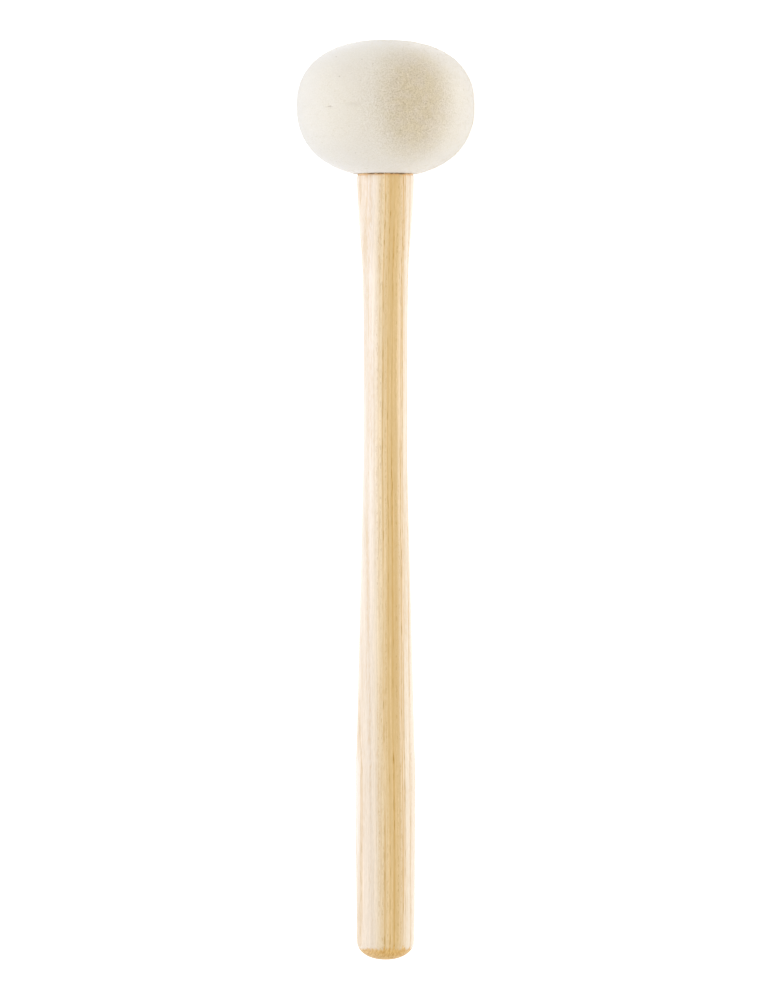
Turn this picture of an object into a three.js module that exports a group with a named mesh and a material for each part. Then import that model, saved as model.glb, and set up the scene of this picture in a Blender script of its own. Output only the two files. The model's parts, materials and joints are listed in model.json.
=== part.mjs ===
import * as THREE from 'three';

// A bass drum mallet: a turned wooden handle glued into an oval head of two hard felt discs.
// Millimetres. Every piece is turned round the mallet's own axis, which is +Y from the tip of
// the butt to the crown of the head. At the end the mallet is laid on the ground plane z = 0,
// with its head towards +Y.

// Head
const headDiameter = 70;
const crownRise = 26;
const undersideDrop = 26.5;
const crownFlatDiameter = 10;
const undersideFlatDiameter = 24.6;
const crownFullnessShare = 2.35;
const undersideFullnessShare = 2.27;

// Handle, from the tip of the butt up to the shoulder that the head sits on
const handleLength = 309;
const buttRise = 7.8;
const buttDiameter = 22.7;
const buttFullnessShare = 2.15;
const swellDistance = 70;
const swellDiameter = 23.7;
const taperDistance = 194;
const waistDiameter = 17.5;
const flareLength = 57;
const flareDiameter = 22.6;
const shoulderDiameter = 21.9;
const shoulderRounding = 2;

// Outlines of the handle's curved runs: share of the run's length, share of its change in size
const gripShares = [[0, 0], [0.4, 0.42], [0.7, 0.8], [1, 1]];
const taperShares = [[0, 0], [0.05, 0.03], [0.13, 0.16], [0.3, 0.32], [1, 1]];
const flareShares = [[0, 0], [0.2, 0.07], [0.4, 0.2], [0.6, 0.51], [0.8, 0.81], [1, 1]];

// Tenon, with ring grooves that key the glue
const tenonDiameter = 12.7;
const tenonLength = 38;
const tenonChamfer = 1;
const grooveCount = 3;
const grooveWidth = 1.8;
const grooveDepth = 0.6;

// Glue, and the clearance that it keeps to the wood and the felt
const sleeveThickness = 0.3;
const seamThickness = 0.2;
const ringThickness = 0.3;
const ringOverhang = 0.2;
const seamRecess = 0.4;
const flatClearance = 0.15;
const roundClearance = 0.25;

// Facets round each turned piece, and steps along its curves
const headFacetCount = 60;
const handleFacetCount = 40;
const sleeveFacetCount = 24;
const headStepCount = 11;
const buttStepCount = 6;
const gripStepCount = 4;
const taperStepCount = 8;
const flareStepCount = 10;
const roundingStepCount = 2;

// Sizes that follow
const headRadius = headDiameter / 2;
const seamSpace = seamThickness + 2 * flatClearance;
const undersideHeight = handleLength + ringThickness + 2 * flatClearance;
const widestHeight = undersideHeight + undersideDrop;
const tenonRadius = tenonDiameter / 2;
const tenonTop = handleLength + tenonLength;
const sleeveInnerRadius = tenonRadius + roundClearance;
const sleeveOuterRadius = sleeveInnerRadius + sleeveThickness;
const sleeveTop = tenonTop + flatClearance + sleeveThickness;
const boreRadius = sleeveOuterRadius + roundClearance;
const boreTop = sleeveTop + flatClearance;

// Finishes
const ashWood = new THREE.MeshStandardMaterial({ color: '#e7d0a3', roughness: 0.42, metalness: 0 });
const hardFelt = new THREE.MeshStandardMaterial({ color: '#e9e3d4', roughness: 0.95, metalness: 0 });
const paleGlue = new THREE.MeshStandardMaterial({ color: '#cbb98d', roughness: 0.5, metalness: 0 });
const brownGlue = new THREE.MeshStandardMaterial({ color: '#7c5526', roughness: 0.55, metalness: 0 });

// A piece turned round the axis. Half a facet of turn puts a flat facet square to the ground.
function turnedPiece(name, outline, facetCount, material) {
  const halfFacet = Math.PI / facetCount;
  const mesh = new THREE.Mesh(new THREE.LatheGeometry(outline, facetCount, halfFacet), material);
  mesh.name = name;
  return mesh;
}

// A point of an outline: its distance from the axis and its height along it
function outlinePoint(radius, height) {
  return new THREE.Vector2(radius, height);
}

// Runs of an outline, end to end, without the points that two runs share
function joinedRuns(...runs) {
  return runs.flat().filter((point, index, all) => index === 0 || !point.equals(all[index - 1]));
}

// The rounded side of a turned form: a superellipse from its widest radius to its flat end
function roundedSide(widestRadius, flatRadius, rise, fullnessShare, stepCount) {
  const power = 2 / fullnessShare;
  const endAngle = Math.acos((flatRadius / widestRadius) ** (1 / power));
  const reach = rise / Math.sin(endAngle) ** power;
  const points = [];
  for (let step = 0; step < stepCount; step += 1) {
    const angle = (endAngle * step) / stepCount;
    points.push(outlinePoint(widestRadius * Math.cos(angle) ** power, reach * Math.sin(angle) ** power));
  }
  points.push(outlinePoint(flatRadius, rise));
  return points;
}

// The same outline moved along the axis, and turned upside down where flip is -1
function placedSide(points, height, flip) {
  const placed = points.map((point) => outlinePoint(point.x, height + flip * point.y));
  return flip < 0 ? placed.reverse() : placed;
}

// A curved run of the handle between two named places and diameters
function curvedRun(start, end, shares, stepCount) {
  const knots = shares.map(([lengthShare, changeShare]) => outlinePoint(
    THREE.MathUtils.lerp(start.diameter, end.diameter, changeShare) / 2,
    THREE.MathUtils.lerp(start.height, end.height, lengthShare),
  ));
  return new THREE.SplineCurve(knots).getPoints(stepCount);
}

// Everything of the handle that stays outside the head, from the butt's tip to the shoulder
function handleOutside() {
  const butt = { height: buttRise, diameter: buttDiameter };
  const swell = { height: swellDistance, diameter: swellDiameter };
  const taperEnd = { height: taperDistance, diameter: waistDiameter };
  const flareStart = { height: handleLength - flareLength, diameter: waistDiameter };
  const flareEnd = { height: handleLength - shoulderRounding, diameter: flareDiameter };
  const dome = roundedSide(buttDiameter / 2, 0, buttRise, buttFullnessShare, buttStepCount);
  const shoulderRadius = shoulderDiameter / 2;
  const roundedEdge = new THREE.EllipseCurve(
    shoulderRadius, flareEnd.height, flareDiameter / 2 - shoulderRadius, shoulderRounding, 0, Math.PI / 2,
  );
  return joinedRuns(
    placedSide(dome, buttRise, -1),
    curvedRun(butt, swell, gripShares, gripStepCount),
    curvedRun(swell, taperEnd, taperShares, taperStepCount),
    curvedRun(flareStart, flareEnd, flareShares, flareStepCount),
    roundedEdge.getPoints(roundingStepCount).slice(1),
  );
}

// The side of the tenon with its ring grooves, or of the glue a clearance outside it
function groovedSide(clearance, bottom) {
  const points = [outlinePoint(tenonRadius + clearance, bottom)];
  for (let groove = 1; groove <= grooveCount; groove += 1) {
    const height = handleLength + (tenonLength * groove) / (grooveCount + 1);
    points.push(outlinePoint(tenonRadius + clearance, height - grooveWidth / 2));
    points.push(outlinePoint(tenonRadius + clearance - grooveDepth, height));
    points.push(outlinePoint(tenonRadius + clearance, height + grooveWidth / 2));
  }
  return points;
}

// One turned stick: the grip, the taper, the waist, the flare and the tenon
function makeHandle(outside) {
  const tenon = [
    ...groovedSide(0, handleLength),
    outlinePoint(tenonRadius, tenonTop - tenonChamfer),
    outlinePoint(tenonRadius - tenonChamfer, tenonTop),
    outlinePoint(0, tenonTop),
  ];
  return turnedPiece('handle', joinedRuns(outside, tenon), handleFacetCount, ashWood);
}

// The glue round the tenon and over its end, with ribs in the tenon's grooves
function makeTenonGlueSleeve() {
  const inside = groovedSide(roundClearance, undersideHeight).reverse();
  const outline = [
    outlinePoint(0, tenonTop + flatClearance),
    outlinePoint(sleeveInnerRadius - tenonChamfer, tenonTop + flatClearance),
    outlinePoint(sleeveInnerRadius, tenonTop + flatClearance - tenonChamfer),
    ...inside,
    outlinePoint(sleeveOuterRadius, undersideHeight),
    outlinePoint(sleeveOuterRadius, sleeveTop),
    outlinePoint(0, sleeveTop),
  ];
  return turnedPiece('tenon_glue_sleeve', outline, sleeveFacetCount, paleGlue);
}

// The glue pressed out between the shoulder and the underside of the head
function makeShoulderGlueRing() {
  const bottom = handleLength + flatClearance;
  const outerRadius = shoulderDiameter / 2 + ringOverhang;
  const outline = [
    outlinePoint(boreRadius, bottom),
    outlinePoint(outerRadius, bottom),
    outlinePoint(outerRadius, bottom + ringThickness),
    outlinePoint(boreRadius, bottom + ringThickness),
    outlinePoint(boreRadius, bottom),
  ];
  return turnedPiece('shoulder_glue_ring', outline, handleFacetCount, brownGlue);
}

// The side of the lower felt disc, up from the underside to the seam
function lowerDiscSide() {
  const seam = -seamSpace / 2;
  const side = roundedSide(
    headRadius, undersideFlatDiameter / 2, undersideDrop + seam, undersideFullnessShare, headStepCount,
  );
  return placedSide(side, seam, -1);
}

// The lower felt disc, bored right through
function makeLowerDisc() {
  const seam = -seamSpace / 2;
  const outline = [
    outlinePoint(boreRadius, -undersideDrop),
    ...lowerDiscSide(),
    outlinePoint(boreRadius, seam),
    outlinePoint(boreRadius, -undersideDrop),
  ];
  return turnedPiece('felt_disc_lower', outline, headFacetCount, hardFelt);
}

// The upper felt disc, bored from below for the end of the tenon, up to the crown
function makeUpperDisc() {
  const seam = seamSpace / 2;
  const boreEnd = boreTop - widestHeight;
  const side = roundedSide(
    headRadius, crownFlatDiameter / 2, crownRise - seam, crownFullnessShare, headStepCount,
  );
  const outline = [
    outlinePoint(0, boreEnd),
    outlinePoint(boreRadius, boreEnd),
    outlinePoint(boreRadius, seam),
    ...placedSide(side, seam, 1),
    outlinePoint(0, crownRise),
  ];
  return turnedPiece('felt_disc_upper', outline, headFacetCount, hardFelt);
}

// The film of glue between the two discs, a little short of the head's side
function makeDiscGlueLine() {
  const outerRadius = headRadius - seamRecess;
  const outline = [
    outlinePoint(boreRadius, -seamThickness / 2),
    outlinePoint(outerRadius, -seamThickness / 2),
    outlinePoint(outerRadius, seamThickness / 2),
    outlinePoint(boreRadius, seamThickness / 2),
    outlinePoint(boreRadius, -seamThickness / 2),
  ];
  return turnedPiece('disc_glue_line', outline, headFacetCount, paleGlue);
}

// The angle at which the mallet lies, with the head and the butt both on the ground. From each
// ring of the head, the shallowest line to the handle meets it first. The steepest of these lines
// is the ground, because no other ring reaches below it.
function lyingAngle(outside) {
  const headReachShare = Math.cos(Math.PI / headFacetCount);
  const handleReachShare = Math.cos(Math.PI / handleFacetCount);
  const angles = lowerDiscSide().map((ring) => Math.min(...outside.map((point) => Math.atan2(
    ring.x * headReachShare - point.x * handleReachShare,
    widestHeight + ring.y - point.y,
  ))));
  return Math.max(...angles);
}

const outside = handleOutside();

const head = new THREE.Group();
head.position.y = widestHeight;
head.add(makeLowerDisc(), makeDiscGlueLine(), makeUpperDisc());

const stick = new THREE.Group();
stick.add(makeHandle(outside), makeTenonGlueSleeve(), makeShoulderGlueRing());

// The mallet lies with its middle over the origin and its lowest facets on the ground
const mallet = new THREE.Group();
mallet.add(head, stick);
mallet.rotation.x = lyingAngle(outside);
mallet.updateMatrixWorld(true);
const bounds = new THREE.Box3().setFromObject(mallet, true);
const middle = bounds.getCenter(new THREE.Vector3());
mallet.position.set(-middle.x, -middle.y, -bounds.min.z);

export default mallet;
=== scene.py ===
# %% [markdown]
# A bass drum mallet, dressed in Blender
#
# The mallet is a turned ash stick with an oval head of hard felt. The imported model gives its
# true size and place, and this script gives it its looks: a fine skin for every piece, a wood
# and a felt made of nodes, and a plain studio to see them in. Lengths are metres, and a small
# size is written in millimetres times MM.

# %% Load the fixed frame
import json
import math

import bmesh
import bpy
from mathutils import Matrix, Vector, geometry, noise

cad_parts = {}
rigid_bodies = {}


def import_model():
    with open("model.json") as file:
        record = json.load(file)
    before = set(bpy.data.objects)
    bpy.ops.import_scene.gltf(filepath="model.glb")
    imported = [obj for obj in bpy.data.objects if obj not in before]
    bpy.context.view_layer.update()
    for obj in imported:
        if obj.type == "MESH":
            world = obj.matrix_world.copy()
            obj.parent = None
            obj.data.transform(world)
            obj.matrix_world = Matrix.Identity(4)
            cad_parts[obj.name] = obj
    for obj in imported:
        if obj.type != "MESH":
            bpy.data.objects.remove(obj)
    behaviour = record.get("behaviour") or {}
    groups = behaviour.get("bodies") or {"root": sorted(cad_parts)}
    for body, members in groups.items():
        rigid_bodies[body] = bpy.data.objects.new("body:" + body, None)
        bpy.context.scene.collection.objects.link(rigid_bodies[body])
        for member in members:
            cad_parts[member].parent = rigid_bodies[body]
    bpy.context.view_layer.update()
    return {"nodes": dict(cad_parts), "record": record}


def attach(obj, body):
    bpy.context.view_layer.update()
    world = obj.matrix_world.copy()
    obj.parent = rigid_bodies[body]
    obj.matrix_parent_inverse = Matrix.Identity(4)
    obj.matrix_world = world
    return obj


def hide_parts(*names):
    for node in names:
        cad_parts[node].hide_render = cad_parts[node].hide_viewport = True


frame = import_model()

# %% [markdown]
# Every piece of this mallet is round about one axis. It is easiest to model the pieces on an
# upright axis of their own, with the tip of the butt at zero, and then to lay them down together.
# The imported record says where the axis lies: the crown mount is a point on it, with its direction.

# %% Find the mallet's own axis
MM = 0.001
HANDLE_LENGTH = 309 * MM
UNDERSIDE_HEIGHT = 309.6 * MM
UNDERSIDE_DROP = 26.5 * MM
CROWN_RISE = 26 * MM
WIDEST_HEIGHT = UNDERSIDE_HEIGHT + UNDERSIDE_DROP
MALLET_LENGTH = WIDEST_HEIGHT + CROWN_RISE

crown = next(mount for mount in frame["record"]["mounts"] if mount["name"] == "crown")
along = Vector(crown["axis"]).normalized()
butt_tip = Vector(crown["pos_m"]) - along * MALLET_LENGTH
lying_angle = math.atan2(along.z, along.y)
PLACE = Matrix.Translation(butt_tip) @ Matrix.Rotation(lying_angle, 4, "X")
UNPLACE = PLACE.inverted()
print("the axis climbs", round(math.degrees(lying_angle), 2), "degrees from", tuple(butt_tip))

# %% [markdown]
# The photograph was taken square to the handle and from far away, with the head at the top. The
# mallet lies on the floor here, so the camera hangs above it and looks down square to the axis.
# Its distance comes from the photograph: the joint under the head is seen from 2.3 degrees below.

# %% Hang the camera above the middle of the mallet
CAMERA_DISTANCE = 3.2
FRAME_HEIGHT = 394 * MM
SENSOR_MM = 36

middle = PLACE @ Vector((0, MALLET_LENGTH / 2, 0))
away = PLACE.to_3x3() @ Vector((0, 0, 1))
across = along.cross(away)
camera_data = bpy.data.cameras.new("camera")
camera_data.sensor_width = SENSOR_MM
camera_data.lens = SENSOR_MM * CAMERA_DISTANCE / FRAME_HEIGHT
camera = bpy.data.objects.new("camera", camera_data)
camera.matrix_world = Matrix.Translation(middle + away * CAMERA_DISTANCE) @ Matrix(
    (across, along, away)
).transposed().to_4x4()
bpy.context.scene.collection.objects.link(camera)
bpy.context.scene.camera = camera
print("the lens is", round(camera_data.lens), "mm long")

# %% [markdown]
# A lathe turns one outline round an axis, and the spin operator does the same. The round ends of
# this mallet are superellipses, which are a little squarer than a circle, and the long runs of the
# handle are smooth curves through a few chosen places. A spin gets slower with each step, so only
# an eighth of the turn is spun, and it is copied round three times, each copy twice as wide. The
# nap is later scattered face by face, so the faces are then put in an order that never changes.

# %% Outlines
SAME_POINT = 0.0001 * MM


def rounded_side(widest, flat, rise, fullness, steps):
    """A quarter superellipse from its widest radius up to its flat end: (radius, height) pairs."""
    power = 2 / fullness
    end_angle = math.acos((flat / widest) ** (1 / power))
    reach = rise / math.sin(end_angle) ** power
    angles = [end_angle * step / steps for step in range(steps)]
    side = [(widest * math.cos(a) ** power, reach * math.sin(a) ** power) for a in angles]
    return side + [(flat, rise)]


def curved_run(start, end, shares, steps):
    """A smooth curve between two (diameter, height) places, through chosen shares of the way."""
    knots = [
        Vector((start[0] + (end[0] - start[0]) * change, start[1] + (end[1] - start[1]) * way, 0))
        for way, change in shares
    ]
    ends = [knots[0], *knots, knots[-1]]
    run = []
    for before, here, there, after in zip(ends, ends[1:], ends[2:], ends[3:]):
        leave = here + (there - before) / 6
        arrive = there - (after - here) / 6
        run += geometry.interpolate_bezier(here, leave, arrive, there, steps + 1)[:-1]
    return [(point.x / 2, point.y) for point in run + [knots[-1]]]


def without_doubles(outline):
    """The outline without the points that two of its runs share."""
    kept = outline[:1]
    for point in outline[1:]:
        if math.dist(point, kept[-1]) > SAME_POINT:
            kept.append(point)
    return kept


# %% Turn an outline into a shape
DOUBLINGS = 3


def number_faces(shape):
    """Puts the faces in the order of their points, because a spin leaves them in no fixed order."""
    shape.verts.index_update()
    in_order = sorted(shape.faces, key=lambda face: sorted(vert.index for vert in face.verts))
    for number, face in enumerate(in_order):
        face.index = number
    shape.faces.sort(key=lambda face: face.index)


def turned_shape(outline, steps, closed=False):
    """A bmesh of the outline turned round the upright axis, closed at its poles and seam."""
    shape = bmesh.new()
    points = [shape.verts.new((radius, height, 0)) for radius, height in outline]
    pairs = list(zip(points, points[1:]))
    if closed:
        pairs.append((points[-1], points[0]))
    chain = [shape.edges.new(pair) for pair in pairs]
    angle = math.tau / 2 ** DOUBLINGS
    bmesh.ops.spin(
        shape, geom=points + chain, cent=(0, 0, 0), axis=(0, 1, 0), angle=angle,
        steps=steps // 2 ** DOUBLINGS,
    )
    for doubling in range(DOUBLINGS):
        copied = bmesh.ops.duplicate(shape, geom=shape.verts[:] + shape.edges[:] + shape.faces[:])
        verts = [part for part in copied["geom"] if isinstance(part, bmesh.types.BMVert)]
        turn = Matrix.Rotation(angle * 2 ** doubling, 3, "Y")
        bmesh.ops.rotate(shape, cent=(0, 0, 0), matrix=turn, verts=verts)
    bmesh.ops.remove_doubles(shape, verts=shape.verts, dist=SAME_POINT)
    number_faces(shape)
    bmesh.ops.recalc_face_normals(shape, faces=shape.faces)
    return shape


# %% Lay a shape down as a finished piece
SHARP_ANGLE = math.radians(40)


def finished_piece(name, shape, material, slot, *nodes):
    """Lays the shape down on the mallet's axis and makes it the object that stands for a node."""
    bmesh.ops.transform(shape, matrix=PLACE, verts=shape.verts)
    mesh = bpy.data.meshes.new(name)
    shape.to_mesh(mesh)
    shape.free()
    mesh.materials.append(material)
    mesh.shade_smooth()
    mesh.set_sharp_from_angle(angle=SHARP_ANGLE)
    piece = bpy.data.objects.new(name, mesh)
    bpy.context.scene.collection.objects.link(piece)
    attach(piece, "root")
    if nodes:
        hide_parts(*nodes)
    triangles = sum(len(face.vertices) - 2 for face in mesh.polygons)
    print(name, "has", triangles, "triangles")
    return piece


# %% [markdown]
# A material is a tree of nodes. The helpers here add a node with its settings in one call, so that
# each material below reads as a list of what the surface shows. Patterns are laid out in the
# mallet's own space, in millimetres: x across, y up the axis from the butt, z towards the camera.

# %% Helpers for node trees
def add(tree, kind, inputs=None, **settings):
    """A new node with its settings; inputs are values, or outputs of other nodes to link."""
    node = tree.nodes.new(kind)
    for name, value in settings.items():
        setattr(node, name, value)
    for socket, value in (inputs or {}).items():
        if isinstance(value, bpy.types.NodeSocket):
            tree.links.new(value, node.inputs[socket])
        else:
            node.inputs[socket].default_value = value
    return node


def maths(tree, operation, *values):
    """The output of a Math node."""
    return add(tree, "ShaderNodeMath", dict(enumerate(values)), operation=operation).outputs[0]


def plus(tree, first, second):
    """The sum of two values."""
    return maths(tree, "ADD", first, second)


def minus(tree, first, second):
    """The first value less the second."""
    return maths(tree, "SUBTRACT", first, second)


def times(tree, first, second):
    """The product of two values."""
    return maths(tree, "MULTIPLY", first, second)


def swing(tree, pattern, reach):
    """A pattern of 0 to 1 as a swing to either side of zero, reach wide in all."""
    return times(tree, minus(tree, pattern, 0.5), reach)


# %% Helpers for patterns and colours
def blend(tree, share, first, second, mode="MIX"):
    """The colour that lies a share of the way from the first to the second."""
    inputs = {0: share, 6: first, 7: second}
    return add(tree, "ShaderNodeMix", inputs, data_type="RGBA", blend_type=mode).outputs[2]


def smooth_range(tree, value, low, high, low_out=0.0, high_out=1.0):
    """The value eased from one range to another."""
    inputs = {0: value, 1: low, 2: high, 3: low_out, 4: high_out}
    node = add(tree, "ShaderNodeMapRange", inputs, interpolation_type="SMOOTHSTEP", clamp=True)
    return node.outputs[0]


def stretched(tree, place, scale, turn=(0, 0, 0)):
    """The place scaled, and turned, to stretch a pattern."""
    inputs = {"Vector": place, "Scale": scale, "Rotation": turn}
    return add(tree, "ShaderNodeMapping", inputs).outputs[0]


def cloudy(tree, place, scale, detail=2.0, roughness=0.5, distortion=0.0):
    """A noise pattern's strength, 0 to 1; scale is repeats per millimetre."""
    inputs = {
        "Vector": place, "Scale": scale, "Detail": detail,
        "Roughness": roughness, "Distortion": distortion,
    }
    return add(tree, "ShaderNodeTexNoise", inputs).outputs[0]


def srgb(red, green, blue):
    """A colour as a paint chart gives it, 0 to 255, made linear for a socket."""
    shares = [channel / 255 for channel in (red, green, blue)]
    linear = [c / 12.92 if c <= 0.04045 else ((c + 0.055) / 1.055) ** 2.4 for c in shares]
    return (*linear, 1.0)


# %% Helpers for a new material
def mallet_place(tree):
    """The mallet's own space in millimetres, from the object's coordinates."""
    flat = add(tree, "ShaderNodeTexCoord").outputs["Object"]
    inputs = {
        "Vector": flat, "Scale": (1 / MM,) * 3,
        "Location": UNPLACE.translation / MM, "Rotation": UNPLACE.to_euler(),
    }
    return add(tree, "ShaderNodeMapping", inputs).outputs[0]


def new_material(name, **surface):
    """A material with a Principled BSDF; surface sets the sockets that are the same all over."""
    material = bpy.data.materials.new(name)
    material.use_nodes = True
    tree = material.node_tree
    shader = tree.nodes["Principled BSDF"]
    for socket, value in surface.items():
        shader.inputs[socket.replace("_", " ")].default_value = value
    return material, tree, shader


# %% [markdown]
# Ash is ring porous. Each year's ring starts with a row of wide pores, which shows along the stick
# as a chain of short brown dashes or dots, and goes on with dense pale wood. The blank was sawn
# well away from the middle of the tree, so the rings cross the stick as nearly flat layers. The
# depth of a place in the tree therefore gives its colour: cream at the left, tan right of the
# middle and cream again. Where the butt is rounded the fibres are cut across, and they drink the
# lacquer and go honey brown.

# %% The layers of the ash wood
PITH = (-118.0, 0.0, 42.0)
FRONT = 11.0
RAMP_REACH = 14.0
LAYER_DRIFT = 2.2
# Each tone of the wood is (depth, colour)
LAYERS = (
    (-12.5, (238, 222, 200)),
    (-9.4, (242, 239, 233)),
    (-8.2, (235, 216, 192)),
    (-6.8, (232, 216, 195)),
    (-4.6, (234, 219, 200)),
    (-2.8, (236, 218, 190)),
    (-1.2, (239, 218, 181)),
    (1.2, (226, 196, 143)),
    (3.4, (217, 186, 129)),
    (5.4, (218, 187, 133)),
    (7.2, (236, 218, 188)),
    (9.6, (234, 221, 202)),
    (12.5, (235, 218, 194)),
)
# Each chain of pores is (depth of its layer, strength)
DASH_CHAINS = (
    (-10.8, 0.4), (-8.1, 0.5), (-1.9, 0.3), (-0.4, 0.65), (1.6, 0.6),
    (3.3, 0.85), (7.1, 0.85), (7.9, 0.7), (10.6, 0.5),
)
DOT_CHAINS = (
    (-11.6, 0.5), (-2.5, 0.6), (-1.2, 0.5), (0.7, 0.5), (4.9, 0.7), (6.1, 0.5), (11.4, 0.5),
)
print("the ash shows", len(LAYERS), "tones and", len(DASH_CHAINS + DOT_CHAINS), "chains of pores")

# %% The layers as nodes
def layer_depth(tree, place):
    """How far right of the middle layer a place lies in the tree, in millimetres."""
    flat = stretched(tree, place, (1, 0, 1))
    inputs = {0: flat, 1: PITH}
    away = add(tree, "ShaderNodeVectorMath", inputs, operation="DISTANCE").outputs["Value"]
    middle_layer = math.dist((0, 0, FRONT), PITH)
    wander = cloudy(tree, stretched(tree, place, (0.03, 0.007, 0.03)), 1.0, 1.0)
    return plus(tree, minus(tree, away, middle_layer), swing(tree, wander, LAYER_DRIFT))


def layer_colours(tree, depth):
    """The colour of the wood at each depth, from the list of layers."""
    share = maths(tree, "DIVIDE", plus(tree, depth, RAMP_REACH), 2 * RAMP_REACH)
    ramp = add(tree, "ShaderNodeValToRGB", {0: share})
    ramp.color_ramp.interpolation = "B_SPLINE"
    stops = ramp.color_ramp.elements
    for number, (layer, colour) in enumerate(LAYERS):
        stop = stops[number] if number < 2 else stops.new(1.0)
        stop.position = (layer + RAMP_REACH) / (2 * RAMP_REACH)
        stop.color = srgb(*colour)
    return ramp.outputs[0]


def chain_mask(tree, depth, chains, width):
    """1 in the layers that hold a chain of pores, times the strength of the chain."""
    mask = 0.0
    for layer, strength in chains:
        aside = maths(tree, "ABSOLUTE", minus(tree, depth, layer))
        chain = smooth_range(tree, aside, 0.4 * width, width, strength, 0.0)
        mask = maths(tree, "MAXIMUM", mask, chain)
    return mask


# %% The grain and the pores of the ash
GOLDEN_SHARES = (0.3, 1.0)
DASH_WIDTH = 0.42
DOT_WIDTH = 0.4


def ash_grain(tree, place, depth, y):
    """The fibres along the stick, the shorter ones, and both of them mixed with long streaks."""
    along_layers = add(tree, "ShaderNodeCombineXYZ", {0: depth, 1: times(tree, y, 0.012), 2: 2.9})
    streaks = cloudy(tree, along_layers.outputs[0], 0.9, 3.0, 0.6)
    fibres = cloudy(tree, stretched(tree, place, (4.0, 0.05, 4.0)), 1.0, 3.0, 0.65)
    short = cloudy(tree, stretched(tree, place, (4.2, 0.4, 4.2)), 1.0, 2.0, 0.6)
    mixed = plus(tree, times(tree, streaks, 0.4), times(tree, fibres, 0.3))
    return fibres, short, plus(tree, mixed, times(tree, short, 0.3))


def ash_pores(tree, place, depth, fibres):
    """The layers of dashes, how golden each place in them is, and the pores."""
    # The first wood of a year is a thin golden layer that comes and goes along the stick
    presence = cloudy(tree, stretched(tree, place, (0.5, 0.022, 0.5)), 1.0, 2.0)
    shown = smooth_range(tree, presence, 0.36, 0.54, *GOLDEN_SHARES)
    wavy = plus(tree, depth, swing(tree, fibres, 0.4))
    dash_layers = chain_mask(tree, wavy, DASH_CHAINS, DASH_WIDTH)
    dot_layers = chain_mask(tree, wavy, DOT_CHAINS, DOT_WIDTH)
    golden = times(tree, dash_layers, shown)

    # Its pores show as dashes, and the rows of smaller pores between show as dots of all sizes
    inputs = {"Vector": stretched(tree, place, (2.6, 0.13, 2.6)), "Scale": 1.0}
    dashes = add(tree, "ShaderNodeTexVoronoi", inputs).outputs["Distance"]
    dash = times(tree, smooth_range(tree, dashes, 0.24, 0.36, 1.0, 0.0), golden)
    inputs = {"Vector": stretched(tree, place, (2.4, 0.9, 2.4)), "Scale": 1.0}
    dots = add(tree, "ShaderNodeTexVoronoi", inputs)
    picked = add(tree, "ShaderNodeSeparateColor", {0: dots.outputs["Color"]}).outputs[0]
    dot_size = times(tree, picked, 0.55)
    dot = smooth_range(tree, dots.outputs["Distance"], 0.1, dot_size, 1.0, 0.0)
    dot = times(tree, dot, times(tree, dot_layers, shown))
    pores = maths(tree, "MAXIMUM", dash, times(tree, dot, 0.46))
    return dash_layers, golden, pores


# %% The cut end of the fibres
END_GRAIN = ((206, 152, 64), (237, 197, 122))
END_GRAIN_HEIGHT = 3.0


def ash_end(tree, axes, depth, ragged, mixed, dash_layers):
    """Where the end grain lies on the rounded butt, and its honey brown colour."""
    edge = plus(tree, END_GRAIN_HEIGHT, times(tree, ragged, 2.8))
    edge = plus(tree, edge, times(tree, dash_layers, 1.6))
    end_grain = smooth_range(tree, minus(tree, edge, axes[1]), -0.9, 0.7)

    # It is mottled in short streaks that follow the layers
    inputs = {0: depth, 1: times(tree, axes[1], 0.3), 2: times(tree, axes[2], 0.14)}
    across_grain = add(tree, "ShaderNodeCombineXYZ", inputs).outputs[0]
    blotch = cloudy(tree, across_grain, 2.4, 3.0, 0.65)
    mottle = plus(tree, times(tree, blotch, 0.7), times(tree, mixed, 0.3))
    share = smooth_range(tree, mottle, 0.38, 0.62)
    return end_grain, blend(tree, share, srgb(*END_GRAIN[0]), srgb(*END_GRAIN[1]))


# %% Ash wood under satin lacquer
DARK_STREAK = (213, 175, 112)
PALE_STREAK = (150, 138, 127)
GOLDEN_LAYER = (208, 164, 84)
PORE = (172, 128, 28)
GLUE_STAIN = (236, 184, 116)
STAIN_HEIGHT = 307.0


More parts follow.
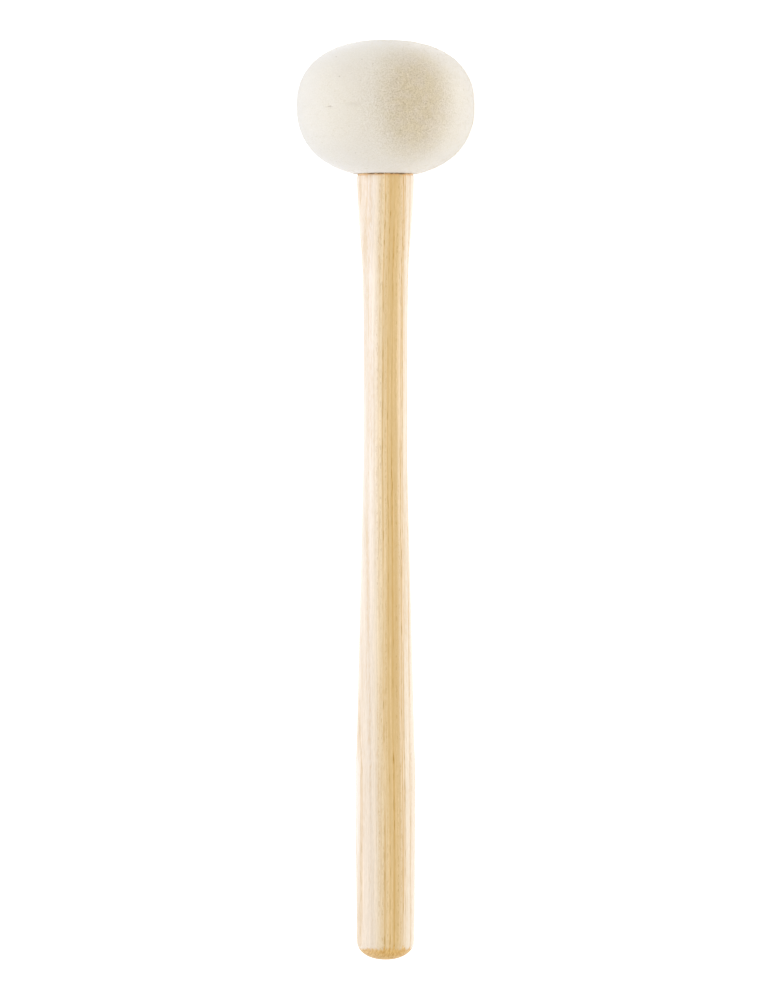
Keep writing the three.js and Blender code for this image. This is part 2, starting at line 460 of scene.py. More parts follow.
def make_ash():
    material, tree, shader = new_material(
        "ash_wood", Specular_IOR_Level=0.1, Coat_Roughness=0.2, Coat_IOR=1.5,
    )
    place = mallet_place(tree)
    axes = add(tree, "ShaderNodeSeparateXYZ", {0: place}).outputs
    depth = layer_depth(tree, place)
    fibres, short, mixed = ash_grain(tree, place, depth, axes[1])
    dash_layers, golden, pores = ash_pores(tree, place, depth, fibres)
    ragged = cloudy(tree, stretched(tree, place, (0.75, 0.12, 0.75)), 1.0, 3.0)
    end_grain, end_colour = ash_end(tree, axes, depth, ragged, mixed, dash_layers)

    # The grain darkens the wood or adds light to it, and the golden layers and pores lie over it
    colour = layer_colours(tree, depth)
    dark_share = smooth_range(tree, mixed, 0.38, 0.51, 0.5, 0.0)
    light_share = smooth_range(tree, mixed, 0.49, 0.62, 0.0, 0.36)
    colour = blend(tree, dark_share, colour, srgb(*DARK_STREAK))
    colour = blend(tree, light_share, colour, srgb(*PALE_STREAK), "ADD")
    colour = blend(tree, times(tree, golden, 0.7), colour, srgb(*GOLDEN_LAYER))
    colour = blend(tree, times(tree, pores, 0.9), colour, srgb(*PORE))
    colour = blend(tree, times(tree, end_grain, 0.84), colour, end_colour)

    # Glue has crept a little way down the wood below the head
    creep = plus(tree, STAIN_HEIGHT, times(tree, ragged, 3.2))
    stain = smooth_range(tree, minus(tree, axes[1], creep), -0.3, 0.5)
    colour = blend(tree, times(tree, stain, 0.55), colour, srgb(*GLUE_STAIN))
    tree.links.new(colour, shader.inputs["Base Color"])

    # The open end grain takes up the lacquer, so it is duller; short fibres make the gloss streaky
    rough = smooth_range(tree, end_grain, 0.0, 1.0, 0.4, 0.55)
    tree.links.new(plus(tree, rough, times(tree, pores, 0.2)), shader.inputs["Roughness"])
    coat = smooth_range(tree, short, 0.35, 0.6, 0.55, 1.0)
    taken_up = smooth_range(tree, end_grain, 0.0, 1.0, 1.0, 0.3)
    tree.links.new(times(tree, coat, taken_up), shader.inputs["Coat Weight"])
    relief = minus(tree, times(tree, fibres, 0.3), times(tree, pores, 0.5))
    bump = add(tree, "ShaderNodeBump", {"Strength": 0.35, "Distance": 0.05 * MM, "Height": relief})
    tree.links.new(bump.outputs[0], shader.inputs["Normal"])
    return material


ash = make_ash()
print("made", ash.name, "with", len(ash.node_tree.nodes), "nodes")

# %% [markdown]
# The handle is one stick from the rounded butt to the end of the tenon inside the head. Its
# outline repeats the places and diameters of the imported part, with many more steps.

# %% Places and sizes along the handle
BUTT = (22.7 * MM, 7.8 * MM)
SWELL = (23.7 * MM, 70 * MM)
TAPER_END = (17.5 * MM, 194 * MM)
FLARE_START = (17.5 * MM, 252 * MM)
FLARE_END = (22.6 * MM, 307 * MM)
SHOULDER_RADIUS = 10.95 * MM
BUTT_FULLNESS = 2.15
GRIP_SHARES = ((0, 0), (0.4, 0.42), (0.7, 0.8), (1, 1))
TAPER_SHARES = ((0, 0), (0.05, 0.03), (0.13, 0.16), (0.3, 0.32), (1, 1))
FLARE_SHARES = ((0, 0), (0.2, 0.07), (0.4, 0.2), (0.6, 0.51), (0.8, 0.81), (1, 1))
TENON_RADIUS = 6.35 * MM
TENON_LENGTH = 38 * MM
TENON_CHAMFER = 1 * MM
GROOVES = 3
GROOVE_WIDTH = 1.8 * MM
GROOVE_DEPTH = 0.6 * MM
print("the slim waist is", round(FLARE_START[1] / MM - TAPER_END[1] / MM), "mm long")

# %% The handle
DOME_STEPS = 24
RUN_STEPS = 8
HANDLE_STEPS = 224


def handle_outline():
    """The handle's outline from the tip of the butt to the end of the tenon."""
    dome = rounded_side(BUTT[0] / 2, 0, BUTT[1], BUTT_FULLNESS, DOME_STEPS)
    outline = [(radius, BUTT[1] - height) for radius, height in reversed(dome)]
    outline += curved_run(BUTT, SWELL, GRIP_SHARES, RUN_STEPS)
    outline += curved_run(SWELL, TAPER_END, TAPER_SHARES, RUN_STEPS)
    outline += curved_run(FLARE_START, FLARE_END, FLARE_SHARES, RUN_STEPS)
    rounding = rounded_side(
        FLARE_END[0] / 2 - SHOULDER_RADIUS, 0, HANDLE_LENGTH - FLARE_END[1], 2, RUN_STEPS,
    )
    outline += [(SHOULDER_RADIUS + radius, FLARE_END[1] + height) for radius, height in rounding]
    outline.append((TENON_RADIUS, HANDLE_LENGTH))
    for groove in range(GROOVES):
        height = HANDLE_LENGTH + TENON_LENGTH * (groove + 1) / (GROOVES + 1)
        outline.append((TENON_RADIUS, height - GROOVE_WIDTH / 2))
        outline.append((TENON_RADIUS - GROOVE_DEPTH, height))
        outline.append((TENON_RADIUS, height + GROOVE_WIDTH / 2))
    top = HANDLE_LENGTH + TENON_LENGTH
    outline += [(TENON_RADIUS, top - TENON_CHAMFER), (TENON_RADIUS - TENON_CHAMFER, top), (0, top)]
    return without_doubles(outline)


handle_shape = turned_shape(handle_outline(), HANDLE_STEPS)
finished_piece("ash_handle", handle_shape, ash, "ash_wood", "handle")

# %% [markdown]
# Pressed wool felt looks smooth from a step away, but it is a mat of short fibres lying every way.
# Three things make that look: a skin with small lumps pressed into it, fine light and dark fibre
# marks in the relief and in the colour, where high places get painted light and low ones painted
# shade, and a thin nap of real fibres that stand a little off it.
# The marks are one node group, because the felt and the nap share them.

# %% A node group for wool
def new_group(name, inputs, outputs):
    """An empty shader group with named sockets, its input node and its output node."""
    tree = bpy.data.node_groups.new(name, "ShaderNodeTree")
    kinds = {"VECTOR": "NodeSocketVector", "COLOUR": "NodeSocketColor", "VALUE": "NodeSocketFloat"}
    for socket, kind in inputs.items():
        tree.interface.new_socket(socket, in_out="INPUT", socket_type=kinds[kind])
    for socket, kind in outputs.items():
        tree.interface.new_socket(socket, in_out="OUTPUT", socket_type=kinds[kind])
    return tree, tree.nodes.new("NodeGroupInput").outputs, tree.nodes.new("NodeGroupOutput").inputs


FIBRE_TURNS = ((0.0, 0.0, -0.6), (0.5, 0.3, 0.2), (-0.4, 0.6, 1.1))


def make_wool_group():
    inputs = {"Place": "VECTOR", "Cream": "COLOUR", "Grey": "COLOUR", "Contrast": "VALUE"}
    tree, given, made = new_group("wool_marks", inputs, {"Colour": "COLOUR", "Relief": "VALUE"})
    place = given["Place"]
    patches = smooth_range(tree, cloudy(tree, place, 0.07, 2.0), 0.35, 0.68)

    # Lumps of two sizes, and fibres that lie in three directions
    clumps = cloudy(tree, place, 1.1, 2.0, 0.55, 0.4)
    fine = cloudy(tree, place, 2.2, 1.0, 0.5, 0.3)
    relief = plus(tree, times(tree, clumps, 0.22), times(tree, fine, 0.8))
    for turn in FIBRE_TURNS:
        turned = stretched(tree, place, (1, 1, 1), turn)
        strands = cloudy(tree, stretched(tree, turned, (3.7, 1.0, 3.7)), 1.0, 1.0, 0.5, 0.6)
        relief = plus(tree, relief, times(tree, strands, 0.35))

    # High places are lighter and low ones darker and yellower: painted light and shade that follow
    # the relief
    shade = smooth_range(tree, relief, 0.6, 1.3, -2.1, 0.9)
    light = plus(tree, 1.0, times(tree, shade, given["Contrast"]))
    greener = maths(tree, "POWER", light, 1.12)
    bluer = maths(tree, "POWER", light, 1.5)
    lit = add(tree, "ShaderNodeCombineColor", {0: light, 1: greener, 2: bluer}).outputs[0]
    colour = blend(tree, patches, given["Cream"], given["Grey"])
    tree.links.new(blend(tree, 1.0, colour, lit, "MULTIPLY"), made["Colour"])
    tree.links.new(relief, made["Relief"])
    return tree


wool_marks = make_wool_group()
print("made the group", wool_marks.name)

# %% [markdown]
# The felt has a few marks of its own. Bits of dark fibre are caught in it, and where the two discs
# meet at the widest part there is a short crease, painted darker as shade, with a faint smudge
# beside it. Right of the middle a patch of painted shade makes the felt darker and yellower, and
# there the grain is coarser, with stronger marks that are partly painted shade; the grain reaches a
# little further left than the patch. Each mark is a place on the head and a reach in each
# direction, in millimetres from the head's middle.

# %% Marks of the felt
CREASE = (-21.8, -1.2, 27.4)
CREASE_REACH = (1.3, 0.24, 3.0)
SMUDGE = (-12.0, -0.6, 32.8)
SMUDGE_REACH = (5.0, 1.5, 3.0)
# A patch of painted shade right of the middle, darker and yellower
SHADE_PATCH = (12.0, 1.5, 32.0)
SHADE_PATCH_REACH = (20.0, 36.0, 28.0)
# Where the grain is coarser; its stronger marks there darken the felt a little, as painted shade
GRAINY_SHADE = (10.2, 0.5, 32.0)
GRAINY_SHADE_REACH = (26.8, 37.0, 36.0)
FLECKS = (
    (-4.9, 15.2, 29.6), (-11.7, -19.3, 23.0), (-19.3, 18.6, 20.0),
    (-18.0, 10.4, 27.0), (20.5, 15.0, 24.0),
)
FLECK_REACH = (0.4, 0.36, 3.0)


def near(tree, place, point, reach):
    """1 at a point, easing to 0 at its reach; reach gives a size for each direction."""
    gap = add(tree, "ShaderNodeVectorMath", {0: place, 1: point}, operation="SUBTRACT").outputs[0]
    scaled = add(tree, "ShaderNodeVectorMath", {0: gap, 1: reach}, operation="DIVIDE").outputs[0]
    length = add(tree, "ShaderNodeVectorMath", {0: scaled}, operation="LENGTH").outputs["Value"]
    return smooth_range(tree, length, 0.25, 1.0, 1.0, 0.0)


# %% The hard felt
FELT_CREAM = (230, 223, 208)
FELT_GREY = (229, 222, 208)
# The two tones of the patch of painted shade
SHADE_PATCH_TONES = ((238, 231, 219), (236, 228, 208))
FLECK_COLOUR = (140, 122, 92)
# The crease is painted darker, as shade
CREASE_SHADE = (132, 98, 72)
SMUDGE_COLOUR = (150, 132, 104)


def make_felt():
    material, tree, shader = new_material(
        "hard_felt", Roughness=0.95, IOR=1.35, Sheen_Weight=1.0, Sheen_Roughness=0.5,
    )
    place = mallet_place(tree)
    inputs = {0: place, 1: (0, WIDEST_HEIGHT / MM, 0)}
    head_place = add(tree, "ShaderNodeVectorMath", inputs, operation="SUBTRACT").outputs[0]
    shade_patch = near(tree, head_place, SHADE_PATCH, SHADE_PATCH_REACH)
    grainy_shade = near(tree, head_place, GRAINY_SHADE, GRAINY_SHADE_REACH)

    # The wool shows more contrast where its grain is coarse, and darkens a little there as painted
    #     # shade; right of the middle it takes on the two tones of a patch of painted shade
    wool = add(tree, "ShaderNodeGroup", node_tree=wool_marks)
    tree.links.new(place, wool.inputs["Place"])
    wool.inputs["Cream"].default_value = srgb(*FELT_CREAM)
    wool.inputs["Grey"].default_value = srgb(*FELT_GREY)
    tree.links.new(plus(tree, 0.03, times(tree, grainy_shade, 0.12)), wool.inputs["Contrast"])
    patches = smooth_range(tree, cloudy(tree, place, 0.2, 3.0), 0.38, 0.62)
    shade_tone = blend(tree, patches, srgb(*SHADE_PATCH_TONES[0]), srgb(*SHADE_PATCH_TONES[1]))
    shaded_wool = blend(tree, 1.0, wool.outputs["Colour"], shade_tone, "MULTIPLY")
    colour = blend(tree, shade_patch, wool.outputs["Colour"], shaded_wool)

    # Caught fibres: a few placed ones, and sparse small ones everywhere
    specks = add(tree, "ShaderNodeTexVoronoi", {"Vector": place, "Scale": 0.22})
    speck = smooth_range(tree, specks.outputs["Distance"], 0.03, 0.07, 1.0, 0.0)
    chosen = add(tree, "ShaderNodeSeparateColor", {0: specks.outputs["Color"]}).outputs[0]
    mask = times(tree, speck, maths(tree, "GREATER_THAN", chosen, 0.72))
    for fleck in FLECKS:
        mask = maths(tree, "MAXIMUM", mask, near(tree, head_place, fleck, FLECK_REACH))
    colour = blend(tree, times(tree, mask, 0.5), colour, srgb(*FLECK_COLOUR))

    # The crease, painted darker as shade, and the smudge where the discs meet
    crease = near(tree, head_place, CREASE, CREASE_REACH)
    smudge = near(tree, head_place, SMUDGE, SMUDGE_REACH)
    colour = blend(tree, times(tree, crease, 0.55), colour, srgb(*CREASE_SHADE))
    colour = blend(tree, times(tree, smudge, 0.08), colour, srgb(*SMUDGE_COLOUR))
    tree.links.new(colour, shader.inputs["Base Color"])

    roughed = plus(tree, 0.4, times(tree, grainy_shade, 2.2))
    relief = times(tree, wool.outputs["Relief"], roughed)
    bump = add(tree, "ShaderNodeBump", {"Strength": 0.7, "Distance": 0.14 * MM, "Height": relief})
    tree.links.new(bump.outputs[0], shader.inputs["Normal"])
    return material


felt = make_felt()
print("made", felt.name, "with", len(felt.node_tree.nodes), "nodes")

# %% [markdown]
# The two felt discs are turned as one oval after they are glued. Their skins meet at the widest
# part, with the glue film in a shallow pocket behind. A lathe leaves the outline smooth, and the
# pressed wool gives small lumps, so each point of the skin is moved in or out by layered noise.

# %% Sizes of the head
HEAD_RADIUS = 35 * MM
CROWN_FLAT = 5 * MM
UNDERSIDE_FLAT = 12.3 * MM
CROWN_FULLNESS = 2.35
UNDERSIDE_FULLNESS = 2.27
BORE_RADIUS = 7.15 * MM
BORE_TOP = 347.6 * MM - WIDEST_HEIGHT
FILM_EDGE = 34.66 * MM
FILM_SPACE = 0.11 * MM
LIP = 0.004 * MM
head_length = UNDERSIDE_DROP + CROWN_RISE
print("the head is", 2 * HEAD_RADIUS / MM, "mm across and", round(head_length / MM, 1), "mm along")

# %% Press the skin of the felt
MARGIN = 0.1 * MM
OVAL_LIFT = 1.6
LUMPS = ((13 * MM, 0.045 * MM), (3.2 * MM, 0.008 * MM), (1.3 * MM, 0.014 * MM))
CREASE_DEPTH = 0.22 * MM
CREASE_LENGTH = 1.5 * MM
CREASE_WIDTH = 0.35 * MM
SEAM_DEPTH = 0.03 * MM
SEAM_WIDTH = 0.45 * MM
SEAM_PATCH = 6 * MM


def felt_lump(point):
    """How far the felt stands proud at a point of the head."""
    return sum(noise.noise(point / size) * height for size, height in LUMPS)


def seam_dip(point):
    """How deep the joint between the discs is drawn in at a point of the skin."""
    seam = max(0.0, 1 - abs(point.y) / SEAM_WIDTH)
    gap = point - Vector(CREASE) * MM
    crease = math.exp(-((gap.x / CREASE_LENGTH) ** 2) - (gap.y / CREASE_WIDTH) ** 2)
    in_front = 1 if point.z > 0 and point.x < 0 else 0
    patchy = 0.5 + noise.noise(point / SEAM_PATCH)
    return CREASE_DEPTH * crease * in_front + SEAM_DEPTH * seam * seam * patchy


def pressed(shape):
    """Moves the skin of a felt disc in and out, and flattens it where it rests on the floor."""
    for vert in shape.verts:
        point = vert.co.copy()
        radius = math.hypot(point.x, point.z)
        on_joint_face = abs(point.y) <= FILM_SPACE and radius < HEAD_RADIUS - MARGIN
        in_bore = radius <= BORE_RADIUS + MARGIN and point.y < BORE_TOP + MARGIN
        if on_joint_face or in_bore:
            continue
        outward = Vector((point.x, OVAL_LIFT * point.y, point.z)).normalized()
        vert.co = point + outward * (felt_lump(point) - seam_dip(point))
    bmesh.ops.translate(shape, vec=(0, WIDEST_HEIGHT, 0), verts=shape.verts)
    for vert in shape.verts:
        world = PLACE @ vert.co
        if world.z < 0:
            world.z = 0
            vert.co = UNPLACE @ world


# %% The two felt discs
SIDE_STEPS = 240
SKIN_STEP = 0.36 * MM
HEAD_STEPS = 512


def evenly_spaced(outline, step):
    """The outline with new points about a step apart along it, and the same two ends."""
    lengths = [math.dist(start, end) for start, end in zip(outline, outline[1:])]
    count = round(sum(lengths) / step)
    spaced = [outline[0]]
    walked = 0.0
    for start, end, length in zip(outline, outline[1:], lengths):
        while len(spaced) < count and walked + length >= len(spaced) * sum(lengths) / count:
            way = (len(spaced) * sum(lengths) / count - walked) / length
            radius = start[0] + (end[0] - start[0]) * way
            height = start[1] + (end[1] - start[1]) * way
            spaced.append((radius, height))
        walked += length
    return spaced + [outline[-1]]


def upper_disc():
    """The disc at the crown, with a blind bore; its middle is at zero until it is pressed."""
    rise = CROWN_RISE - LIP
    side = rounded_side(HEAD_RADIUS, CROWN_FLAT, rise, CROWN_FULLNESS, SIDE_STEPS)
    skin = [(radius, height + LIP) for radius, height in side] + [(0, CROWN_RISE)]
    bore = [(0, BORE_TOP), (BORE_RADIUS, BORE_TOP), (BORE_RADIUS, FILM_SPACE)]
    pocket = [(FILM_EDGE, FILM_SPACE), (FILM_EDGE, LIP)]
    outline = without_doubles(bore + pocket + evenly_spaced(skin, SKIN_STEP))
    return turned_shape(outline, HEAD_STEPS)


def lower_disc():
    """The disc at the handle, with a bore right through."""
    drop = UNDERSIDE_DROP - LIP
    side = rounded_side(HEAD_RADIUS, UNDERSIDE_FLAT, drop, UNDERSIDE_FULLNESS, SIDE_STEPS)
    skin = [(radius, -LIP - height) for radius, height in side] + [(BORE_RADIUS, -UNDERSIDE_DROP)]
    pocket = [(BORE_RADIUS, -FILM_SPACE), (FILM_EDGE, -FILM_SPACE), (FILM_EDGE, -LIP)]
    outline = without_doubles(pocket + evenly_spaced(skin, SKIN_STEP))
    return turned_shape(outline, HEAD_STEPS, closed=True)


discs = []
for name, shape, node in (
    ("felt_upper", upper_disc(), "felt_disc_upper"),
    ("felt_lower", lower_disc(), "felt_disc_lower"),
):
    pressed(shape)
    discs.append(finished_piece(name, shape, felt, "hard_felt", node))

# %% [markdown]
# Glue that was pressed out under the head has set as a thin uneven line, dark brown against the
# felt and amber against the wood. It is a ring whose outer edge wanders in and out. The height
# where it turns dark wanders too, and lies lowest at the front, so the line is broken and fades
# towards both sides, as in the photograph.

# %% Set glue
THICK_SIDE = (1.0, 309.3, 11.0)
THICK_REACH = (14.0, 60.0, 11.0)
BROWN_GLUE = ((234, 196, 146), (104, 76, 30))
PALE_GLUE = ((206, 184, 138), (186, 160, 112))
DARK_HEIGHT = 309.4
HIDDEN_DARK_HEIGHT = 330.0


def make_glue(name, colours, dark_height):
    """Set glue: its first colour low on the axis, where it is thin, and its second one above."""
    material, tree, shader = new_material(name, Roughness=0.45, Specular_IOR_Level=0.3)
    place = mallet_place(tree)
    height = add(tree, "ShaderNodeSeparateXYZ", {0: place}).outputs[1]
    streaks = cloudy(tree, stretched(tree, place, (0.9, 1.5, 0.9)), 1.0, 3.0, 0.7)
    thickness = cloudy(tree, place, 0.16, 1.0)
    front = near(tree, place, THICK_SIDE, THICK_REACH)
    edge = plus(tree, height, swing(tree, streaks, 1.5))
    edge = plus(tree, edge, swing(tree, thickness, 0.6))
    edge = plus(tree, edge, times(tree, front, 0.3))
    share = smooth_range(tree, edge, dark_height - 0.1, dark_height + 0.3)
    colour = blend(tree, share, srgb(*colours[0]), srgb(*colours[1]))
    tree.links.new(colour, shader.inputs["Base Color"])
    bump = add(tree, "ShaderNodeBump", {"Strength": 0.5, "Distance": 0.05 * MM, "Height": streaks})
    tree.links.new(bump.outputs[0], shader.inputs["Normal"])
    return material


brown_glue = make_glue("brown_glue", BROWN_GLUE, DARK_HEIGHT)
pale_glue = make_glue("pale_glue", PALE_GLUE, HIDDEN_DARK_HEIGHT)
print("made", brown_glue.name, "and", pale_glue.name)

# %% The pressed-out glue
RING_RADIUS = 10.86 * MM
RING_INSIDE = 7.4 * MM
RING_EDGE = 0.14 * MM
RING_LOW = HANDLE_LENGTH + 0.01 * MM
RING_HIGH = UNDERSIDE_HEIGHT + 0.05 * MM
RING_STEPS = 256
RING_SWELLS = ((1.7 * MM, 0.09 * MM), (0.6 * MM, 0.05 * MM))


def shoulder_ring():
    """The ring of glue, a flat washer with a rounded outer edge that swells in and out."""
    centre = (RING_LOW + RING_HIGH) / 2
    edge = rounded_side(RING_EDGE, 0, (RING_HIGH - RING_LOW) / 2, 2, 3)
    outer = [(RING_RADIUS + radius, centre + height) for radius, height in edge]
    under = [(RING_RADIUS + radius, centre - height) for radius, height in reversed(edge)]
    outline = [(RING_INSIDE, RING_LOW)] + under + outer + [(RING_INSIDE, RING_HIGH)]
    shape = turned_shape(without_doubles(outline), RING_STEPS, closed=True)
    for vert in shape.verts:
        around = Vector((vert.co.x, 0, vert.co.z))
        if around.length > RING_RADIUS - MARGIN:
            swell = sum(height * noise.noise(around / size) for size, height in RING_SWELLS)
            vert.co += around.normalized() * swell
    return shape


finished_piece("shoulder_glue", shoulder_ring(), brown_glue, "brown_glue", "shoulder_glue_ring")

# %% [markdown]
# The glue round the tenon and between the discs is hidden in the head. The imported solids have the
# right shape, so they stay and only get the finish of pale set glue.

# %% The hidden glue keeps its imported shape
for node in ("tenon_glue_sleeve", "disc_glue_line"):
    frame["nodes"][node].data.materials.clear()
    frame["nodes"][node].data.materials.append(pale_glue)
print("finished the hidden glue")

# %% [markdown]
# The nap is the last layer of the felt. A few single fibres are modelled, each a thin three-sided
# tube along an arc, and geometry nodes scatter thousands of them over the skin, leaning every way.
# The result is applied to a plain mesh, one for each disc.

# %% Single fibres
FIBRE_RADIUS = 0.03 * MM
TIP_SHARE = 0.3
# Each fibre is (length in millimetres, bend in radians)
FIBRES = ((0.5, 0.5), (0.7, 0.9), (0.9, 0.6), (0.65, 1.4), (1.1, 1.0))


def fibre_shape(length, bend):
    """A tapered tube of three sides along an arc, standing on the origin and bending towards +X."""
    shape = bmesh.new()
    bmesh.ops.create_circle(shape, cap_ends=True, segments=3, radius=FIBRE_RADIUS)
    centre = (length / bend, 0, 0)
    bmesh.ops.spin(
        shape, geom=shape.verts[:] + shape.edges[:] + shape.faces[:], cent=centre, axis=(0, 1, 0),
        angle=bend, steps=2,
    )
    tip = max(shape.faces, key=lambda face: face.calc_center_median().z)
    from_tip = Matrix.Translation(-tip.calc_center_median())
    bmesh.ops.scale(shape, vec=(TIP_SHARE,) * 3, space=from_tip, verts=tip.verts)
    bmesh.ops.recalc_face_normals(shape, faces=shape.faces)
    return shape


fibre_box = bpy.data.collections.new("fibres")
for number, (length, bend) in enumerate(FIBRES):
    shape = fibre_shape(length * MM, bend)
    open_edges = sum(not edge.is_manifold for edge in shape.edges)
    mesh = bpy.data.meshes.new(f"fibre_{number}")
    shape.to_mesh(mesh)
    print("fibre", number, "has", len(mesh.polygons), "faces and", open_edges, "open edges")
    shape.free()
    fibre_box.objects.link(bpy.data.objects.new(f"fibre_{number}", mesh))

# %% Scatter the fibres with geometry nodes
NAP_DENSITY = 1.9 / (MM * MM)
MAX_LIFT = 0.22
FIBRE_SCALES = (0.6, 1.25)


def vector_maths(tree, operation, *values):
    """The vector output of a Vector Math node."""
    node = add(tree, "ShaderNodeVectorMath", dict(enumerate(values)), operation=operation)
    return node.outputs[0]


def scatter_tree(seed):
    """Geometry nodes that replace a skin by fibres standing on it."""
    tree = bpy.data.node_groups.new("nap", "GeometryNodeTree")
    tree.interface.new_socket("Geometry", in_out="INPUT", socket_type="NodeSocketGeometry")
    tree.interface.new_socket("Geometry", in_out="OUTPUT", socket_type="NodeSocketGeometry")
    skin = tree.nodes.new("NodeGroupInput").outputs[0]
    inputs = {"Mesh": skin, "Density": NAP_DENSITY, "Seed": seed}
    spots = add(tree, "GeometryNodeDistributePointsOnFaces", inputs).outputs

    # A fibre lies along the skin in any direction, and lifts off it a little
    inputs = {0: (-1, -1, -1), 1: (1, 1, 1), "Seed": seed + 1}
    any_way = add(tree, "FunctionNodeRandomValue", inputs, data_type="FLOAT_VECTOR").outputs[0]
    off_skin = vector_maths(tree, "PROJECT", any_way, spots["Normal"])
    lying = vector_maths(tree, "NORMALIZE", vector_maths(tree, "SUBTRACT", any_way, off_skin))
    inputs = {2: 0.0, 3: MAX_LIFT, "Seed": seed + 2}
    lift = add(tree, "FunctionNodeRandomValue", inputs).outputs[1]
    inputs = {0: spots["Normal"], "Scale": lift}
    up = add(tree, "ShaderNodeVectorMath", inputs, operation="SCALE").outputs[0]
    inputs = {"Vector": vector_maths(tree, "ADD", lying, up)}
    turn = add(tree, "FunctionNodeAlignRotationToVector", inputs, axis="Z").outputs[0]

    # Its size and its kind are chosen at random too
    inputs = {2: FIBRE_SCALES[0], 3: FIBRE_SCALES[1], "Seed": seed + 3}
    size = add(tree, "FunctionNodeRandomValue", inputs).outputs[1]
    inputs = {4: 0, 5: len(fibre_box.objects) - 1, "Seed": seed + 4}
    kind = add(tree, "FunctionNodeRandomValue", inputs, data_type="INT").outputs[2]
    fibres = add(tree, "GeometryNodeCollectionInfo", {0: fibre_box, 1: True, 2: True}).outputs[0]
    placed = add(tree, "GeometryNodeInstanceOnPoints", {
        "Points": spots["Points"], "Instance": fibres, "Pick Instance": True,
        "Instance Index": kind, "Rotation": turn, "Scale": size,
    }).outputs[0]
    real = add(tree, "GeometryNodeRealizeInstances", {0: placed}).outputs[0]
    tree.links.new(real, tree.nodes.new("NodeGroupOutput").inputs[0])
    return tree


# %% The wool of the nap
NAP_CREAM = (241, 233, 215)
NAP_GREY = (239, 231, 216)


def make_nap_material():
    material, tree, shader = new_material("wool_nap", Roughness=0.9, IOR=1.4, Sheen_Weight=0.3)
    wool = add(tree, "ShaderNodeGroup", node_tree=wool_marks)
    tree.links.new(mallet_place(tree), wool.inputs["Place"])
    wool.inputs["Cream"].default_value = srgb(*NAP_CREAM)
    wool.inputs["Grey"].default_value = srgb(*NAP_GREY)
    wool.inputs["Contrast"].default_value = 0.1
    tree.links.new(wool.outputs["Colour"], shader.inputs["Base Color"])
    return material


# %% Lay the nap on both discs
NAP_SEEDS = (11, 47)
JOINT_REACH = 0.12 * MM


def is_hidden(face):
    """Whether a disc's face looks into the bore or the joint, or lies against the handle."""
    middle = face.calc_center_median()
    radius = math.hypot(middle.x, middle.z)
    by_handle = radius < SHOULDER_RADIUS and middle.y < WIDEST_HEIGHT + BORE_TOP + 1 * MM
    at_joint = abs(middle.y - WIDEST_HEIGHT) < JOINT_REACH
    in_joint = abs(face.normal.y) > 0.9 or radius < FILM_EDGE + 0.02 * MM
    return by_handle or at_joint and in_joint


def nap_over(disc, seed):
    """A piece of scattered fibres over the skin of a disc."""
    skin = bmesh.new()
    skin.from_mesh(disc.data)
    bmesh.ops.transform(skin, matrix=UNPLACE, verts=skin.verts)
    hidden = [face for face in skin.faces if is_hidden(face)]
    bmesh.ops.delete(skin, geom=hidden, context="FACES")
    bmesh.ops.transform(skin, matrix=PLACE, verts=skin.verts)
    mesh = bpy.data.meshes.new("skin")
    skin.to_mesh(mesh)
    skin.free()
    carrier = bpy.data.objects.new("skin", mesh)
    bpy.context.scene.collection.objects.link(carrier)
    modifier = carrier.modifiers.new("nap", "NODES")
    modifier.node_group = scatter_tree(seed)
    graph = bpy.context.evaluated_depsgraph_get()
    fibres = bmesh.new()
    fibres.from_mesh(carrier.evaluated_get(graph).to_mesh())
    bpy.data.objects.remove(carrier)
    for vert in fibres.verts:
        vert.co.z = max(vert.co.z, 0)
    bmesh.ops.transform(fibres, matrix=UNPLACE, verts=fibres.verts)
    return fibres


nap_material = make_nap_material()
for disc, seed in zip(discs, NAP_SEEDS):
    finished_piece("nap_" + disc.name, nap_over(disc, seed), nap_material, "hard_felt")

# %% [markdown]
# The studio is as plain as the photograph's: a white floor, a light tent that is palest low down,
# two long soft boxes on the left and a narrow one low on the right. The top of the mallet faces
# none of them, so it is the darkest part. Only one box is mirrored, because two highlights would
# run together on the lacquer. For the camera, and in gloss, the floor glows up to pure white, and
# it keeps the mallet's shadow.

# %% The floor
FLOOR_WIDTH = 14
FLOOR_PAINT = (234, 236, 240)
FLOOR_GLOW = 0.55


def make_floor():
    material = bpy.data.materials.new("floor_white")
    material.use_nodes = True
    tree = material.node_tree
    tree.nodes.clear()
    seen = add(tree, "ShaderNodeLightPath").outputs
    shown = maths(tree, "MAXIMUM", seen["Is Camera Ray"], seen["Is Glossy Ray"])
    paint = add(tree, "ShaderNodeBsdfDiffuse", {"Color": srgb(*FLOOR_PAINT)}).outputs[0]
    glow = add(tree, "ShaderNodeEmission", {"Strength": times(tree, shown, FLOOR_GLOW)}).outputs[0]
    both = add(tree, "ShaderNodeAddShader", {0: paint, 1: glow}).outputs[0]
    tree.links.new(both, add(tree, "ShaderNodeOutputMaterial").inputs[0])
    shape = bmesh.new()
    bmesh.ops.create_grid(shape, x_segments=1, y_segments=1, size=FLOOR_WIDTH / 2)
    mesh = bpy.data.meshes.new("floor")
    shape.to_mesh(mesh)
    shape.free()
    mesh.materials.append(material)
    floor = bpy.data.objects.new("floor", mesh)
    bpy.context.scene.collection.objects.link(floor)


make_floor()
print("laid a floor", FLOOR_WIDTH, "m wide")

# %% The light tent
# Each stop of the tent is (height of the view's direction, light)
TENT = (
    (0.2, (0.90, 0.93, 1.0)),
    (0.45, (0.40, 0.39, 0.36)),
    (0.6, (0.40, 0.39, 0.36)),
    (0.9, (0.68, 0.64, 0.57)),
)
TENT_STRENGTH = 1.4


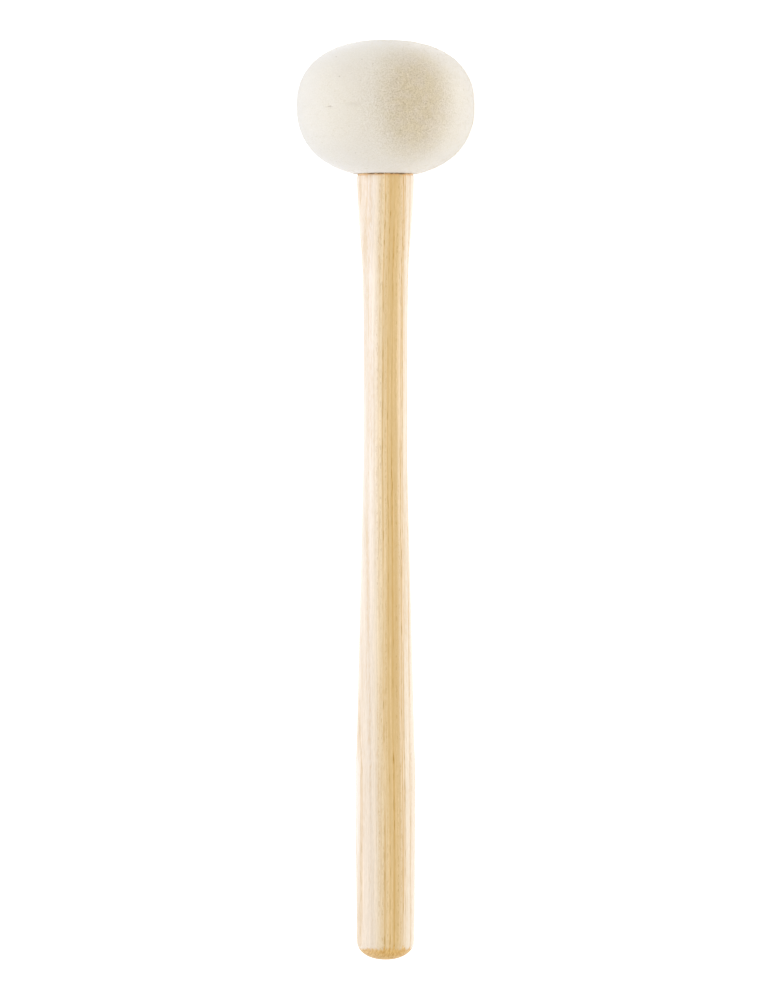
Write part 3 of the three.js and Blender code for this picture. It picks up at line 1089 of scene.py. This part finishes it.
def make_world():
    """A light tent, pale and cool low down and warm and dimmer above; the camera sees it white."""
    world = bpy.data.worlds.new("tent")
    bpy.context.scene.world = world
    world.use_nodes = True
    tree = world.node_tree
    tree.nodes.clear()
    look = add(tree, "ShaderNodeTexCoord").outputs["Generated"]
    height = add(tree, "ShaderNodeSeparateXYZ", {0: look}).outputs[2]
    ramp = add(tree, "ShaderNodeValToRGB", {0: height})
    ramp.color_ramp.interpolation = "EASE"
    for number, (position, colour) in enumerate(TENT):
        stops = ramp.color_ramp.elements
        stop = stops[0] if number == 0 else stops.new(position)
        stop.position = position
        stop.color = (*colour, 1.0)
    ramp.color_ramp.elements.remove(ramp.color_ramp.elements[-1])
    seen = add(tree, "ShaderNodeLightPath").outputs["Is Camera Ray"]
    colour = blend(tree, seen, ramp.outputs[0], (1, 1, 1, 1))
    strength = smooth_range(tree, seen, 0.0, 1.0, TENT_STRENGTH, 1.0)
    glow = add(tree, "ShaderNodeBackground", {"Color": colour, "Strength": strength}).outputs[0]
    tree.links.new(glow, add(tree, "ShaderNodeOutputWorld").inputs[0])


make_world()
print("hung a light tent with", len(TENT), "stops")

# %% The soft boxes
LAMP_AIM = (0, 0.1, 0.02)


def add_lamp(name, place, size, power, colour, mirrored=True):
    """A soft box that the camera doesn't see, and that shows in gloss only if it is mirrored."""
    lamp = bpy.data.lights.new(name, "AREA")
    lamp.shape = "RECTANGLE"
    lamp.size, lamp.size_y = size
    lamp.energy = power
    lamp.color = colour
    holder = bpy.data.objects.new(name, lamp)
    turn = (Vector(LAMP_AIM) - Vector(place)).to_track_quat("-Z", "Y")
    holder.matrix_world = Matrix.Translation(place) @ turn.to_matrix().to_4x4()
    holder.visible_camera = False
    holder.visible_glossy = mirrored
    bpy.context.scene.collection.objects.link(holder)


add_lamp("left_low", (-0.99, 0.1, 0.14), (0.25, 1.3), 3.4, (0.74, 0.81, 1.0), mirrored=False)
add_lamp("left_high", (-0.93, 0.1, 0.40), (0.25, 1.3), 3.1, (0.70, 0.79, 1.0))
add_lamp("right_strip", (1.0, 0.1, 0.09), (0.1, 1.3), 6.6, (0.93, 0.93, 1.0), mirrored=False)
bpy.context.scene.view_settings.view_transform = "Standard"
print("the studio has", len(bpy.data.lights), "soft boxes")
